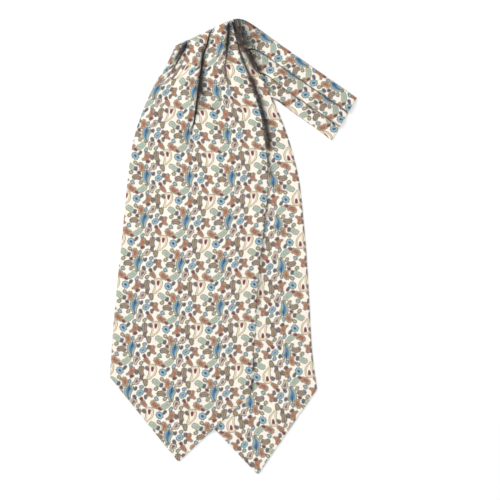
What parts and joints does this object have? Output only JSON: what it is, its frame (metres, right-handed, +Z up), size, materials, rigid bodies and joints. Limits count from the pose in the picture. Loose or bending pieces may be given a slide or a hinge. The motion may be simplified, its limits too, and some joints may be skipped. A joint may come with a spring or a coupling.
{
  "type": "silk day cravat laid flat",
  "caption": "Day cravat laid flat face up: pleated front blade over a rear blade, both pointed, and a three-pleat neck band folded back to the right.",
  "frame": {"origin": "on the surface the cravat lies on, under the middle of its whole outline", "axes": "+Z up off the surface through the cloth, +Y from the blades' points towards the pleated top, +X towards the side that the neck band lies on"},
  "size_m": [0.2596, 0.4732, 0.0072],
  "materials": {
    "blade_silk": "cream printed silk twill with a small paisley repeat in red, blue, teal, olive and tan, soft sheen",
    "band_silk": "the same cream printed silk twill, pressed into knife pleats, soft sheen"
  },
  "bodies": {
    "root": {"front_blade": "blade_silk", "rear_blade": "blade_silk", "neck_band_upper": "band_silk", "neck_band_under": "band_silk"}
  },
  "joints": []
}
